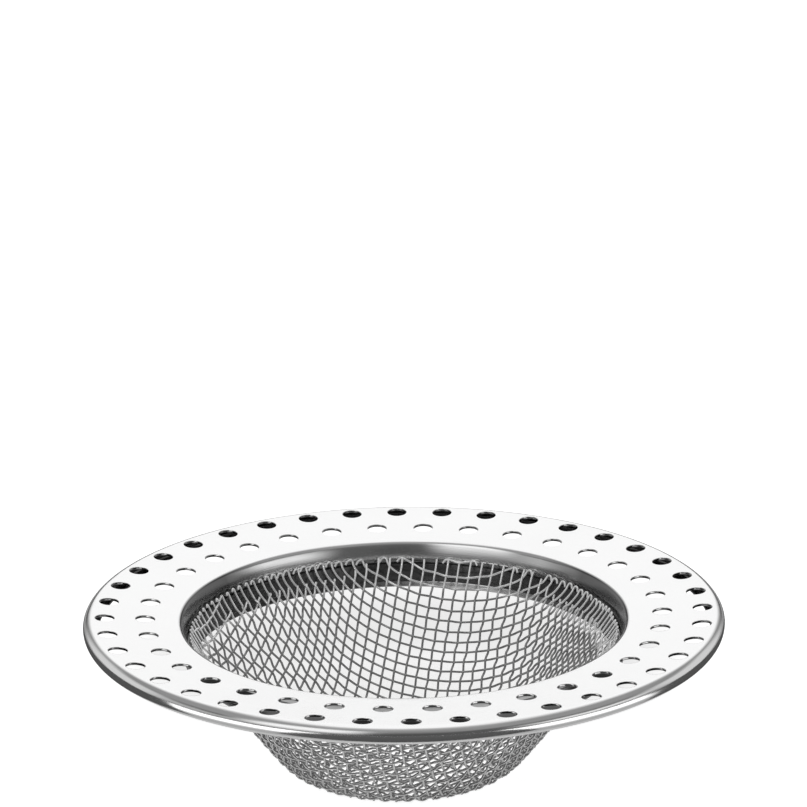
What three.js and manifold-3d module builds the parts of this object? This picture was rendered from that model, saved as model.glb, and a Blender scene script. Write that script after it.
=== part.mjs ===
// Drain strainer: a punched sheet brim, a strip hoop pressed into its collar,
// and a bowl of woven wire cloth held inside the hoop.
// Millimetres, +Z up. The bowl stands on z = 0, and the axis of the strainer is the Z axis.

import * as THREE from 'three';
import { mergeVertices } from 'three/addons/utils/BufferGeometryUtils.js';
import Module from 'manifold-3d';

// Overall sizes
const TOTAL_HEIGHT = 29;
const BRIM_DIAMETER = 112;

// Brim sheet
const BRIM_THICKNESS = 0.5;
const BRIM_FALL = 0.95;
const CURL_BORE_RADIUS = 1.15;
const COLLAR_BORE_DIAMETER = 76;
const COLLAR_DEPTH = 7.6;
const LIP_BEND_RADIUS = 0.8;
const LIP_DRAFT = 20;
const LIP_DEPTH = 4;

// Drain holes in the brim, in two rings
const HOLE_DIAMETER = 3.4;
const OUTER_HOLE_COUNT = 40;
const OUTER_HOLE_INSET = 3.8;
const OUTER_HOLE_START = 1.16;
const INNER_HOLE_COUNT = 34;
const INNER_HOLE_SETBACK = 5.1;
const INNER_HOLE_START = 0.64;

// Strip hoop inside the collar
const HOOP_THICKNESS = 0.5;
const HOOP_TOP_DEPTH = 4.8;
const HOOP_BAND_HEIGHT = 3.1;
const HOOP_FOOT_LENGTH = 1.1;
const HOOP_FOOT_TURN = 45;
const HOOP_CLEARANCE = 0.1;

// Woven cloth bowl
const WIRE_DIAMETER = 0.4;
const WIRES_EACH_WAY = 25;
const WEAVE_CLEARANCE = 0.3;
const CLOTH_CLEARANCE = 0.3;
const CLOTH_EDGE_DEPTH = 3.7;
const BOWL_FLOOR_DIAMETER = 29.5;
const BOWL_CORNER_RADIUS = 9;
const WALL_BULGE_RADIUS = 190;
const WEAVE_TURN = 74;

// How finely round forms are cut into flats
const RING_SEGMENTS = 60;
const HOLE_SIDES = 10;
const CURL_FLAT_ANGLE = 30;
const CURL_FLATS = 7;
const LIP_STEPS = 3;
const WIRE_SIDES = 4;
const NET_SOLVE_STEPS = 30;

const radians = THREE.MathUtils.degToRad;

// Heights and radii that follow from the driving sizes
const curlRadius = CURL_BORE_RADIUS + BRIM_THICKNESS;
const curlCentre = new THREE.Vector2(BRIM_DIAMETER / 2 - curlRadius, TOTAL_HEIGHT - curlRadius);
const collarRadius = COLLAR_BORE_DIAMETER / 2;
const lipRadius = LIP_BEND_RADIUS + BRIM_THICKNESS;
const lipDraft = radians(LIP_DRAFT);
const lipFoot = TOTAL_HEIGHT - LIP_DEPTH;
const lipHeight = TOTAL_HEIGHT - BRIM_FALL - lipRadius;
const draftDrop = lipHeight + lipRadius * Math.sin(lipDraft) - lipFoot;
const lipCentre = new THREE.Vector2(
  collarRadius + draftDrop * Math.tan(lipDraft) + lipRadius * Math.cos(lipDraft),
  lipHeight,
);
const brimSlope = BRIM_FALL / (curlCentre.x - lipCentre.x);
const hoopRadius = collarRadius - HOOP_CLEARANCE - HOOP_THICKNESS;

// A square wire section with the area of the round wire, laid flat on the cloth
const sectionScale = Math.sqrt((2 * Math.PI) / (WIRE_SIDES * Math.sin((2 * Math.PI) / WIRE_SIDES)));
const sectionRadius = (WIRE_DIAMETER / 2) * sectionScale;
const sectionHalfHeight = sectionRadius * Math.cos(Math.PI / WIRE_SIDES);
const crimpHeight = sectionHalfHeight + WEAVE_CLEARANCE / 2;
const clothHalfThickness = crimpHeight + sectionHalfHeight;

// Middle surface of the cloth: a flat floor, a round corner, and a bulged wall up to the trimmed edge
const clothEdge = new THREE.Vector2(
  collarRadius - CLOTH_CLEARANCE - clothHalfThickness,
  TOTAL_HEIGHT - CLOTH_EDGE_DEPTH,
);
const cornerCentre = new THREE.Vector2(BOWL_FLOOR_DIAMETER / 2, clothHalfThickness + BOWL_CORNER_RADIUS);

const steel = {
  brim: new THREE.MeshStandardMaterial({ color: 0xe4e6e8, roughness: 0.18, metalness: 1 }),
  hoop: new THREE.MeshStandardMaterial({ color: 0xb9bcc0, roughness: 0.3, metalness: 1 }),
  wire: new THREE.MeshStandardMaterial({ color: 0xc6c9cc, roughness: 0.25, metalness: 1 }),
};

const strainer = new THREE.Group();
const wasm = await Module();
wasm.setup();

// Named piece in the assembly
function addPiece(name, geometry, material) {
  const mesh = new THREE.Mesh(geometry, material);
  mesh.name = name;
  strainer.add(mesh);
}

// Points on an arc about a centre, from one angle to another, both ends included
function arcPoints(centre, radius, from, to, steps) {
  const points = [];
  for (let step = 0; step <= steps; step += 1) {
    const angle = THREE.MathUtils.lerp(from, to, step / steps);
    points.push(new THREE.Vector2(centre.x + radius * Math.cos(angle), centre.y + radius * Math.sin(angle)));
  }
  return points;
}

// Ring turned about the Z axis from an outline of radius and height, drawn clockwise
function turnedRing(outline) {
  const loop = [...outline, outline[0]].reverse();
  const geometry = new THREE.LatheGeometry(loop, RING_SEGMENTS);
  geometry.rotateX(Math.PI / 2);
  geometry.deleteAttribute('normal');
  geometry.deleteAttribute('uv');
  return mergeVertices(geometry);
}

// Closed geometry as a solid that can be cut
function solidFrom(geometry) {
  const triVerts = Uint32Array.from(geometry.index.array);
  const vertProperties = Float32Array.from(geometry.attributes.position.array);
  return new wasm.Manifold(new wasm.Mesh({ numProp: 3, vertProperties, triVerts }));
}

// Cut solid back as geometry
function geometryFrom(solid) {
  const mesh = solid.getMesh();
  const geometry = new THREE.BufferGeometry();
  geometry.setAttribute('position', new THREE.BufferAttribute(Float32Array.from(mesh.vertProperties), 3));
  geometry.setIndex(new THREE.BufferAttribute(Uint32Array.from(mesh.triVerts), 1));
  return geometry;
}

// Outline of the brim: collar, leaning lip, falling cone and rolled edge, then back along the underside
function brimOutline() {
  const collarFoot = TOTAL_HEIGHT - COLLAR_DEPTH;
  const flat = radians(CURL_FLAT_ANGLE);
  const curlStart = Math.PI / 2 + flat / 2;
  const curlEnd = curlStart - CURL_FLATS * flat;
  const flatScale = 1 / Math.cos(flat / 2);
  const lipStart = Math.PI - lipDraft;
  const lipEnd = Math.PI / 2 + Math.atan(brimSlope);
  const upper = [
    new THREE.Vector2(collarRadius, collarFoot),
    new THREE.Vector2(collarRadius, lipFoot),
    ...arcPoints(lipCentre, lipRadius, lipStart, lipEnd, LIP_STEPS),
    ...arcPoints(curlCentre, curlRadius * flatScale, curlStart, curlEnd, CURL_FLATS),
  ];
  const lower = [
    new THREE.Vector2(collarRadius + BRIM_THICKNESS, collarFoot),
    new THREE.Vector2(collarRadius + BRIM_THICKNESS, lipFoot - BRIM_THICKNESS * Math.tan(lipDraft / 2)),
    ...arcPoints(lipCentre, LIP_BEND_RADIUS, lipStart, lipEnd, LIP_STEPS),
    ...arcPoints(curlCentre, CURL_BORE_RADIUS * flatScale, curlStart, curlEnd, CURL_FLATS),
  ];
  return [...upper, ...lower.reverse()];
}

// Punches for one ring of drain holes, each a sheet's thickness longer than the sloping sheet needs
function holePunches(count, radius, startAngle) {
  const punchHeight = 2 * BRIM_THICKNESS + brimSlope * HOLE_DIAMETER;
  const sheetTop = TOTAL_HEIGHT - brimSlope * (curlCentre.x - radius);
  const middle = sheetTop - BRIM_THICKNESS / 2;
  const punches = [];
  for (let hole = 0; hole < count; hole += 1) {
    const angle = Math.PI + radians(startAngle) - (2 * Math.PI * hole) / count;
    const punch = new THREE.CylinderGeometry(HOLE_DIAMETER / 2, HOLE_DIAMETER / 2, punchHeight, HOLE_SIDES);
    punch.rotateX(Math.PI / 2);
    punch.translate(radius * Math.cos(angle), radius * Math.sin(angle), middle);
    punch.deleteAttribute('normal');
    punch.deleteAttribute('uv');
    punches.push(solidFrom(mergeVertices(punch)));
  }
  return punches;
}

// Brim sheet with both rings of holes punched out
function addBrim() {
  let sheet = solidFrom(turnedRing(brimOutline()));
  const punches = [
    ...holePunches(OUTER_HOLE_COUNT, BRIM_DIAMETER / 2 - OUTER_HOLE_INSET, OUTER_HOLE_START),
    ...holePunches(INNER_HOLE_COUNT, lipCentre.x + INNER_HOLE_SETBACK, INNER_HOLE_START),
  ];
  for (const punch of punches) {
    sheet = sheet.subtract(punch);
  }
  addPiece('brim', geometryFrom(sheet), steel.brim);
}

// Strip hoop: an upright band with its foot turned in
function addHoop() {
  const top = TOTAL_HEIGHT - HOOP_TOP_DEPTH;
  const turn = radians(HOOP_FOOT_TURN);
  const innerBend = new THREE.Vector2(hoopRadius, top - HOOP_BAND_HEIGHT);
  const bendWall = new THREE.Vector2(HOOP_THICKNESS, -HOOP_THICKNESS * Math.tan(turn / 2));
  const footRun = new THREE.Vector2(-Math.sin(turn), -Math.cos(turn)).multiplyScalar(HOOP_FOOT_LENGTH);
  const footWall = new THREE.Vector2(Math.cos(turn), -Math.sin(turn)).multiplyScalar(HOOP_THICKNESS);
  const innerFoot = innerBend.clone().add(footRun);
  const outline = [
    innerFoot,
    innerBend,
    new THREE.Vector2(hoopRadius, top),
    new THREE.Vector2(hoopRadius + HOOP_THICKNESS, top),
    innerBend.clone().add(bendWall),
    innerFoot.clone().add(footWall),
  ];
  addPiece('mesh_hoop', turnedRing(outline), steel.hoop);
}

// Centre of the wall's bulge: the wall runs through the trimmed edge and on into the round corner
function bulgeCentre() {
  const toCorner = cornerCentre.clone().sub(clothEdge);
  const span = toCorner.length();
  const fromEdge = WALL_BULGE_RADIUS;
  const fromCorner = WALL_BULGE_RADIUS - BOWL_CORNER_RADIUS;
  const alongSpan = (fromEdge ** 2 - fromCorner ** 2 + span ** 2) / (2 * span);
  const offSpan = Math.sqrt(fromEdge ** 2 - alongSpan ** 2);
  const way = toCorner.normalize();
  const inward = new THREE.Vector2(way.y, -way.x);
  return clothEdge.clone().addScaledVector(way, alongSpan).addScaledVector(inward, offSpan);
}

// Half section of the cloth's middle surface, drawn on straight past the trimmed edge
function clothSection(spare) {
  const path = new THREE.Path();
  const bulge = bulgeCentre();
  const wallFoot = cornerCentre.clone().sub(bulge).angle();
  const wallTop = clothEdge.clone().sub(bulge).angle();
  const beyond = new THREE.Vector2(-Math.sin(wallTop), Math.cos(wallTop)).multiplyScalar(spare).add(clothEdge);
  path.moveTo(0, clothHalfThickness);
  path.lineTo(cornerCentre.x, clothHalfThickness);
  path.absarc(cornerCentre.x, cornerCentre.y, BOWL_CORNER_RADIUS, -Math.PI / 2, wallFoot, false);
  path.absarc(bulge.x, bulge.y, WALL_BULGE_RADIUS, wallFoot, wallTop, false);
  path.lineTo(beyond.x, beyond.y);
  return path;
}

const spareEdge = TOTAL_HEIGHT;
const section = clothSection(spareEdge);
const sectionLength = section.getLength();
const edgeRun = sectionLength - spareEdge;
const pitch = edgeRun / (WIRES_EACH_WAY / 2);
const outermostWire = (WIRES_EACH_WAY - 1) / 2;

// Place on the cloth at a run along its section and an angle about the axis, with its directions
function clothAt(run, angle) {
  const point = section.getPoint(run / sectionLength);
  const slope = section.getTangent(run / sectionLength);
  const cos = Math.cos(angle);
  const sin = Math.sin(angle);
  return {
    run,
    angle,
    point: new THREE.Vector3(point.x * cos, point.x * sin, point.y),
    along: new THREE.Vector3(slope.x * cos, slope.x * sin, slope.y),
    around: new THREE.Vector3(-point.x * sin, point.x * cos, 0),
    outward: new THREE.Vector3(slope.y * cos, slope.y * sin, -slope.x),
  };
}

// Crossing that lies one pitch from both of its inner neighbours, across from the crossing they share
function nextCrossing(warpSide, weftSide, shared) {
  const reach = warpSide.point.clone().add(weftSide.point).sub(shared.point);
  let place = clothAt(warpSide.run + weftSide.run - shared.run, Math.atan2(reach.y, reach.x));
  for (let step = 0; step < NET_SOLVE_STEPS; step += 1) {
    const fromWarp = place.point.clone().sub(warpSide.point);
    const fromWeft = place.point.clone().sub(weftSide.point);
    const warpError = (pitch * pitch - fromWarp.lengthSq()) / 2;
    const weftError = (pitch * pitch - fromWeft.lengthSq()) / 2;
    const warpAlong = fromWarp.dot(place.along);
    const warpAround = fromWarp.dot(place.around);
    const weftAlong = fromWeft.dot(place.along);
    const weftAround = fromWeft.dot(place.around);
    const determinant = warpAlong * weftAround - warpAround * weftAlong;
    const runStep = (warpError * weftAround - weftError * warpAround) / determinant;
    const angleStep = (weftError * warpAlong - warpError * weftAlong) / determinant;
    place = clothAt(place.run + runStep, place.angle + angleStep);
  }
  return place;
}

// Crossings over one quarter of the cloth, as a square weave drapes over the bowl
function quarterNet() {
  const net = [];
  for (let warp = 0; warp <= outermostWire + 1; warp += 1) {
    net.push([clothAt(warp * pitch, 0)]);
  }
  for (let weft = 1; weft <= outermostWire + 1; weft += 1) {
    net[0].push(clothAt(weft * pitch, Math.PI / 2));
  }
  for (let warp = 1; warp <= outermostWire; warp += 1) {
    for (let weft = 1; weft <= outermostWire + 1; weft += 1) {
      const below = net[warp][weft - 1];
      const beside = net[warp - 1][weft];
      if (below === undefined || beside === undefined || below.run > edgeRun) {
        break;
      }
      net[warp].push(nextCrossing(beside, below, net[warp - 1][weft - 1]));
    }
  }
  return net;
}

const net = quarterNet();

// Crossings that one wire passes on one side of the middle, ending at the trimmed edge
function crossingsToEdge(wire) {
  const places = [];
  for (const place of net[wire]) {
    places.push(place);
    if (place.run > edgeRun) {
      break;
    }
  }
  const beyond = places.pop();
  const last = places[places.length - 1];
  const leastStub = WIRE_DIAMETER / pitch;
  const share = Math.max((edgeRun - last.run) / (beyond.run - last.run), leastStub);
  const endRun = THREE.MathUtils.lerp(last.run, beyond.run, share);
  const endAngle = THREE.MathUtils.lerp(last.angle, beyond.angle, share);
  return { places, end: clothAt(endRun, endAngle), endCrimp: 1 - 2 * share };
}

// Centre points of one wire with the way out of the cloth at each, from one trimmed end to the other
function wireStations(wire, firstLift) {
  const { places, end, endCrimp } = crossingsToEdge(Math.abs(wire));
  const side = wire < 0 ? -1 : 1;
  const station = (place, way, lift) => {
    const mirror = new THREE.Vector3(side, way, 1);
    const outward = place.outward.clone().multiply(mirror);
    const centre = place.point.clone().multiply(mirror).addScaledVector(outward, lift * crimpHeight);
    return { centre, outward };
  };
  const liftAt = (crossing) => (crossing % 2 === 0 ? firstLift : -firstLift);
  const half = (way) => {
    const stations = [];
    for (let crossing = 1; crossing < places.length; crossing += 1) {
      stations.push(station(places[crossing], way, liftAt(crossing)));
    }
    stations.push(station(end, way, liftAt(places.length - 1) * endCrimp));
    return stations;
  };
  return [...half(-1).reverse(), station(places[0], 1, firstLift), ...half(1)];
}

// Closed wire through its stations, with a flat-sided section square to its run
function wireGeometry(stations) {
  const positions = [];
  const faces = [];
  const last = stations.length - 1;
  stations.forEach(({ centre, outward }, index) => {
    const before = stations[Math.max(index - 1, 0)].centre;
    const after = stations[Math.min(index + 1, last)].centre;
    const run = after.clone().sub(before).normalize();
    const across = run.clone().cross(outward).normalize();
    const upright = across.clone().cross(run);
    for (let corner = 0; corner < WIRE_SIDES; corner += 1) {
      const angle = ((2 * corner + 1) * Math.PI) / WIRE_SIDES;
      const vertex = centre.clone();
      vertex.addScaledVector(upright, sectionRadius * Math.cos(angle));
      vertex.addScaledVector(across, sectionRadius * Math.sin(angle));
      positions.push(vertex.x, vertex.y, vertex.z);
    }
  });
  const lastRing = last * WIRE_SIDES;
  for (let ring = 0; ring < lastRing; ring += WIRE_SIDES) {
    for (let corner = 0; corner < WIRE_SIDES; corner += 1) {
      const near = ring + corner;
      const beside = ring + ((corner + 1) % WIRE_SIDES);
      faces.push(near, beside, near + WIRE_SIDES);
      faces.push(beside, beside + WIRE_SIDES, near + WIRE_SIDES);
    }
  }
  for (let corner = 1; corner < WIRE_SIDES - 1; corner += 1) {
    faces.push(0, corner + 1, corner);
    faces.push(lastRing, lastRing + corner, lastRing + corner + 1);
  }
  const geometry = new THREE.BufferGeometry();
  geometry.setAttribute('position', new THREE.Float32BufferAttribute(positions, 3));
  geometry.setIndex(faces);
  return geometry;
}

// Every wire of the cloth: warp wires one way, weft wires across them, over one and under the next
function addCloth() {
  const acrossDiagonal = new THREE.Matrix4().set(0, 1, 0, 0, 1, 0, 0, 0, 0, 0, 1, 0, 0, 0, 0, 1);
  for (let wire = -outermostWire; wire <= outermostWire; wire += 1) {
    const number = String(wire + outermostWire + 1).padStart(2, '0');
    const lift = wire % 2 === 0 ? 1 : -1;
    const warp = wireStations(wire, lift);
    const weft = wireStations(wire, -lift);
    for (const { centre, outward } of weft) {
      centre.applyMatrix4(acrossDiagonal);
      outward.transformDirection(acrossDiagonal);
    }
    const turn = radians(WEAVE_TURN);
    addPiece(`warp_wire_${number}`, wireGeometry(warp).rotateZ(turn), steel.wire);
    addPiece(`weft_wire_${number}`, wireGeometry(weft).rotateZ(turn), steel.wire);
  }
}

addBrim();
addHoop();
addCloth();

export default strainer;
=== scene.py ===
"""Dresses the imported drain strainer: punched brim, strip hoop and woven bowl, in a plain studio."""

import logging
import math
import random
from dataclasses import dataclass
from enum import Enum
from typing import Any, Callable, Iterable, Sequence

import bmesh
import bpy
from mathutils import Matrix, Vector, noise

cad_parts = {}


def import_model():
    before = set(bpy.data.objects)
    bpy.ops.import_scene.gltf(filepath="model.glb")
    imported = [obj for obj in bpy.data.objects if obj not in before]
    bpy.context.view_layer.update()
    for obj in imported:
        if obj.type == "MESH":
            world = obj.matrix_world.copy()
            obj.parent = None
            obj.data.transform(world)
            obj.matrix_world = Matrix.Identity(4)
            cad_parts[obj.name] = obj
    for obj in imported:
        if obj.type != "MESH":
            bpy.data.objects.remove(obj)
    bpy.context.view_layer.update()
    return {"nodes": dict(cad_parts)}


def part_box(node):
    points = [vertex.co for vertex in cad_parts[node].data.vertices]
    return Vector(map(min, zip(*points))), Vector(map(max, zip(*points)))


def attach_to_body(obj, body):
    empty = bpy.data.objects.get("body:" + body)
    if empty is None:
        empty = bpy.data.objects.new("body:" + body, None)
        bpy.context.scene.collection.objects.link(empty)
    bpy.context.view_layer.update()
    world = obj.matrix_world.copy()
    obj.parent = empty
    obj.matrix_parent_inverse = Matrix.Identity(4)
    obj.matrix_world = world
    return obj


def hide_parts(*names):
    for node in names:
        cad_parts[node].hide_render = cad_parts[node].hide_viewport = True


LOG = logging.getLogger("strainer")

MM = 0.001
BODY = "root"
WELD_DISTANCE = 1e-6
PAINTED_SHADE_ATTRIBUTE = "painted_shade_share"
QUARTER_TURN = math.pi / 2
HALF_TURN = math.pi
FULL_TURN = 2 * math.pi

Profile = list[tuple[float, float]]
Colour = tuple[float, float, float, float]


def grey(level: float) -> Colour:
    """Makes a neutral colour of one level."""
    return (level, level, level, 1.0)


class Slot(Enum):
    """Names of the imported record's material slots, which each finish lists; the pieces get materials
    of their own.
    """

    POLISHED_SHEET = "polished_sheet"
    HOOP_STRIP = "hoop_strip"
    WOVEN_WIRE = "woven_wire"


class Way(Enum):
    """The two ways in which the wires of the cloth run."""

    WARP = "warp"
    WEFT = "weft"


class Marks(Enum):
    """How the fine tool marks lie on a steel surface."""

    ROUND_THE_AXIS = "round the axis"
    SPOTTED = "spotted"


class NodeSketch:
    """Adds nodes to one tree and joins them."""

    def __init__(self, tree: bpy.types.NodeTree) -> None:
        """Keeps the tree and clears the nodes that it came with."""
        self.tree = tree
        self.tree.nodes.clear()

    def add(
        self,
        kind: str,
        inputs: dict[str | int, Any] | None = None,
        settings: dict[str, Any] | None = None,
    ) -> bpy.types.Node:
        """Adds one node.

        Args:
            kind: Blender's name for the node's type.
            inputs: a value or a socket to join for each input, by name or place.
            settings: the node's own properties.

        Returns:
            The new node.
        """
        node = self.tree.nodes.new(kind)
        for name, value in (settings or {}).items():
            setattr(node, name, value)
        for key, value in (inputs or {}).items():
            if isinstance(value, bpy.types.NodeSocket):
                self.tree.links.new(value, node.inputs[key])
            else:
                node.inputs[key].default_value = value
        return node

    def math(self, operation: str, first: Any, second: Any = 0.0) -> bpy.types.NodeSocket:
        """Adds a Math node.

        Args:
            operation: the sum to do.
            first: its first value or socket.
            second: its second value or socket.

        Returns:
            The socket with the result.
        """
        node = self.add("ShaderNodeMath", {0: first, 1: second}, {"operation": operation})
        return node.outputs[0]

    def blend(self, share: Any, first: Any, second: Any) -> bpy.types.NodeSocket:
        """Adds a Mix node for colours.

        Args:
            share: how much of the second colour shows.
            first: the first colour or socket.
            second: the second colour or socket.

        Returns:
            The socket with the mixed colour.
        """
        node = self.tree.nodes.new("ShaderNodeMix")
        node.data_type = "RGBA"
        colours = [socket for socket in node.inputs if socket.type == "RGBA"]
        for socket, value in zip([node.inputs[0]] + colours, (share, first, second)):
            if isinstance(value, bpy.types.NodeSocket):
                self.tree.links.new(value, socket)
            else:
                socket.default_value = value
        return [socket for socket in node.outputs if socket.type == "RGBA"][0]

    def step(self, value: Any, start: float, end: float) -> bpy.types.NodeSocket:
        """Adds a soft step from 0 at its start to 1 at its end.

        Args:
            value: the value or socket that the step follows.
            start: where the step starts.
            end: where it ends, which may be below its start.

        Returns:
            The socket with the result.
        """
        node = self.add(
            "ShaderNodeMapRange",
            {"Value": value, "From Min": start, "From Max": end},
            {"interpolation_type": "SMOOTHSTEP"},
        )
        return node.outputs["Result"]


@dataclass(frozen=True)
class SteelFinish:
    """Stainless steel with cloudy brightness, uneven gloss, fine tool marks, and painted shade in its
    hollows, underneath and on the wires' edges and inner faces.
    """

    name: str
    slot: Slot
    bright: Colour
    dull: Colour
    cloud_scale: float
    mark_scale: float
    glossy: float
    matt: float
    mark_depth: float
    marks: Marks
    metal: float = 1.0
    painted_shade_colour: Colour | None = None
    # Painted shade on the wires: a dark tone on their edge sides, and another on their faces towards
    # the bowl's inside.
    inside_shade: Colour | None = None
    inside_shade_facing: tuple[float, float] = (0.3, -0.3)
    edge_shade: Colour = grey(0.06)
    edge_shade_facing: tuple[float, float] = (0.55, 0.1)
    tone_top: tuple[float, float] = (21.5 * MM, 19.5 * MM)
    tone_middle: tuple[float, float, float] = (0.0, 0.0, 27.0 * MM)
    cloud_detail: float = 3.0
    cloud_roughness: float = 0.55
    mark_detail: float = 4.0
    mark_roughness: float = 0.6
    gloss_span: tuple[float, float] = (0.6, 1.4)

    def material(self) -> bpy.types.Material:
        """Builds the finish as a material on Object coordinates.

        Returns:
            The material.
        """
        made = bpy.data.materials.new(self.name)
        made.use_nodes = True
        sketch = NodeSketch(made.node_tree)
        place = sketch.add("ShaderNodeTexCoord").outputs["Object"]
        clouds = sketch.add(
            "ShaderNodeTexNoise",
            {
                "Vector": place,
                "Scale": self.cloud_scale,
                "Detail": self.cloud_detail,
                "Roughness": self.cloud_roughness,
            },
        )
        marks = sketch.add(
            "ShaderNodeTexNoise",
            {
                "Vector": self._mark_vector(sketch, place),
                "Scale": self.mark_scale,
                "Detail": self.mark_detail,
                "Roughness": self.mark_roughness,
            },
        )
        tint = sketch.blend(clouds.outputs["Fac"], self.dull, self.bright)
        # Painted shade: darkened towards the shade colour as far as the mesh's painted shade share
        # says.
        if self.painted_shade_colour is not None:
            shade_share = sketch.add("ShaderNodeAttribute", settings={"attribute_name": PAINTED_SHADE_ATTRIBUTE})
            tint = sketch.blend(shade_share.outputs["Fac"], tint, self.painted_shade_colour)
        # Painted shade: below the bowl's edge, the wires darken on their edge sides and more on their
        # faces towards its inside.
        if self.inside_shade is not None:
            between = self._share_facing(sketch, place, self.edge_shade_facing)
            inside = self._share_facing(sketch, place, self.inside_shade_facing)
            tint = sketch.blend(inside, sketch.blend(between, tint, self.edge_shade), self.inside_shade)
        gloss = sketch.add(
            "ShaderNodeMapRange",
            {
                "Value": sketch.math("ADD", clouds.outputs["Fac"], marks.outputs["Fac"]),
                "From Min": self.gloss_span[0],
                "From Max": self.gloss_span[1],
                "To Min": self.glossy,
                "To Max": self.matt,
            },
        )
        bump = sketch.add(
            "ShaderNodeBump",
            {"Strength": 1.0, "Distance": self.mark_depth, "Height": marks.outputs["Fac"]},
        )
        shader = sketch.add(
            "ShaderNodeBsdfPrincipled",
            {
                "Base Color": tint,
                "Metallic": self.metal,
                "Roughness": gloss.outputs["Result"],
                "Normal": bump.outputs["Normal"],
            },
        )
        sketch.add("ShaderNodeOutputMaterial", {"Surface": shader.outputs["BSDF"]})
        return made

    def _share_facing(
        self, sketch: NodeSketch, place: bpy.types.NodeSocket, edge: tuple[float, float]
    ) -> bpy.types.NodeSocket:
        """Finds which sides of the bowl's wires a painted shade covers, below the bowl's edge.

        Args:
            sketch: the tree.
            place: the point's Object coordinates.
            edge: how far out a side faces where the tone starts, and where it is full.

        Returns:
            The socket with 1 where the tone is full, 0 where there is none.
        """
        height = sketch.add("ShaderNodeSeparateXYZ", {"Vector": place}).outputs["Z"]
        away = sketch.add(
            "ShaderNodeVectorMath", {0: place, 1: self.tone_middle}, {"operation": "SUBTRACT"}
        )
        out = sketch.add(
            "ShaderNodeVectorMath", {0: away.outputs["Vector"]}, {"operation": "NORMALIZE"}
        )
        facing = sketch.add(
            "ShaderNodeVectorMath",
            {0: out.outputs["Vector"], 1: sketch.add("ShaderNodeNewGeometry").outputs["Normal"]},
            {"operation": "DOT_PRODUCT"},
        )
        covered = sketch.step(facing.outputs["Value"], *edge)
        return sketch.math("MULTIPLY", covered, sketch.step(height, *self.tone_top))

    def _mark_vector(
        self, sketch: NodeSketch, place: bpy.types.NodeSocket
    ) -> bpy.types.NodeSocket:
        """Finds where on its marks a point lies.

        Args:
            sketch: the tree.
            place: the point's Object coordinates.

        Returns:
            The socket with the vector for the marks.
        """
        if self.marks is Marks.SPOTTED:
            return place
        axes = sketch.add("ShaderNodeSeparateXYZ", {"Vector": place})
        flat = sketch.add("ShaderNodeCombineXYZ", {"X": axes.outputs["X"], "Y": axes.outputs["Y"]})
        radius = sketch.add(
            "ShaderNodeVectorMath", {0: flat.outputs["Vector"]}, {"operation": "LENGTH"}
        )
        turn = sketch.math("ARCTAN2", axes.outputs["Y"], axes.outputs["X"])
        joined = sketch.add(
            "ShaderNodeCombineXYZ",
            {
                "X": radius.outputs["Value"],
                "Y": sketch.math("MULTIPLY", turn, MM),
                "Z": axes.outputs["Z"],
            },
        )
        return joined.outputs["Vector"]


def new_object(name: str, mesh: bpy.types.Mesh) -> bpy.types.Object:
    """Puts a mesh into the scene at the origin.

    Args:
        name: the object's name.
        mesh: its mesh.

    Returns:
        The new object.
    """
    made = bpy.data.objects.new(name, mesh)
    bpy.context.scene.collection.objects.link(made)
    return made


def mesh_from(
    name: str,
    points: Sequence[Vector],
    faces: Sequence[Sequence[int]] = (),
    edges: Sequence[tuple[int, int]] = (),
) -> bpy.types.Mesh:
    """Makes a mesh from lists.

    Args:
        name: the mesh's name.
        points: its vertices.
        faces: its faces, as places in the points.
        edges: its loose edges, as places in the points.

    Returns:
        The new mesh.
    """
    mesh = bpy.data.meshes.new(name)
    mesh.from_pydata([tuple(point) for point in points], list(edges), [tuple(face) for face in faces])
    mesh.update()
    return mesh


def bake_nodes(
    target: bpy.types.Object, tree: bpy.types.NodeTree, values: dict[str, Any]
) -> bpy.types.Mesh:
    """Runs a Geometry Nodes tree on an object and takes its result as a plain mesh.

    Args:
        target: the object, which is removed afterwards.
        tree: the tree.
        values: a value for each named input.

    Returns:
        The resulting mesh.
    """
    modifier = target.modifiers.new(tree.name, "NODES")
    modifier.node_group = tree
    for socket in tree.interface.items_tree:
        if socket.in_out == "INPUT" and socket.name in values:
            modifier[socket.identifier] = values[socket.name]
    bpy.context.view_layer.update()
    graph = bpy.context.evaluated_depsgraph_get()
    result = bpy.data.meshes.new_from_object(target.evaluated_get(graph), depsgraph=graph)
    bpy.data.objects.remove(target)
    return result


def node_tree(
    name: str, inputs: Iterable[tuple[str, str]]
) -> tuple[bpy.types.NodeTree, NodeSketch, bpy.types.Node]:
    """Starts a Geometry Nodes tree.

    Args:
        name: the tree's name.
        inputs: name and socket type of each input after the geometry.

    Returns:
        The tree, its sketch and its input node.
    """
    tree = bpy.data.node_groups.new(name, "GeometryNodeTree")
    tree.interface.new_socket("Geometry", in_out="INPUT", socket_type="NodeSocketGeometry")
    for label, kind in inputs:
        tree.interface.new_socket(label, in_out="INPUT", socket_type=kind)
    tree.interface.new_socket("Geometry", in_out="OUTPUT", socket_type="NodeSocketGeometry")
    sketch = NodeSketch(tree)
    return tree, sketch, sketch.add("NodeGroupInput")


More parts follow.
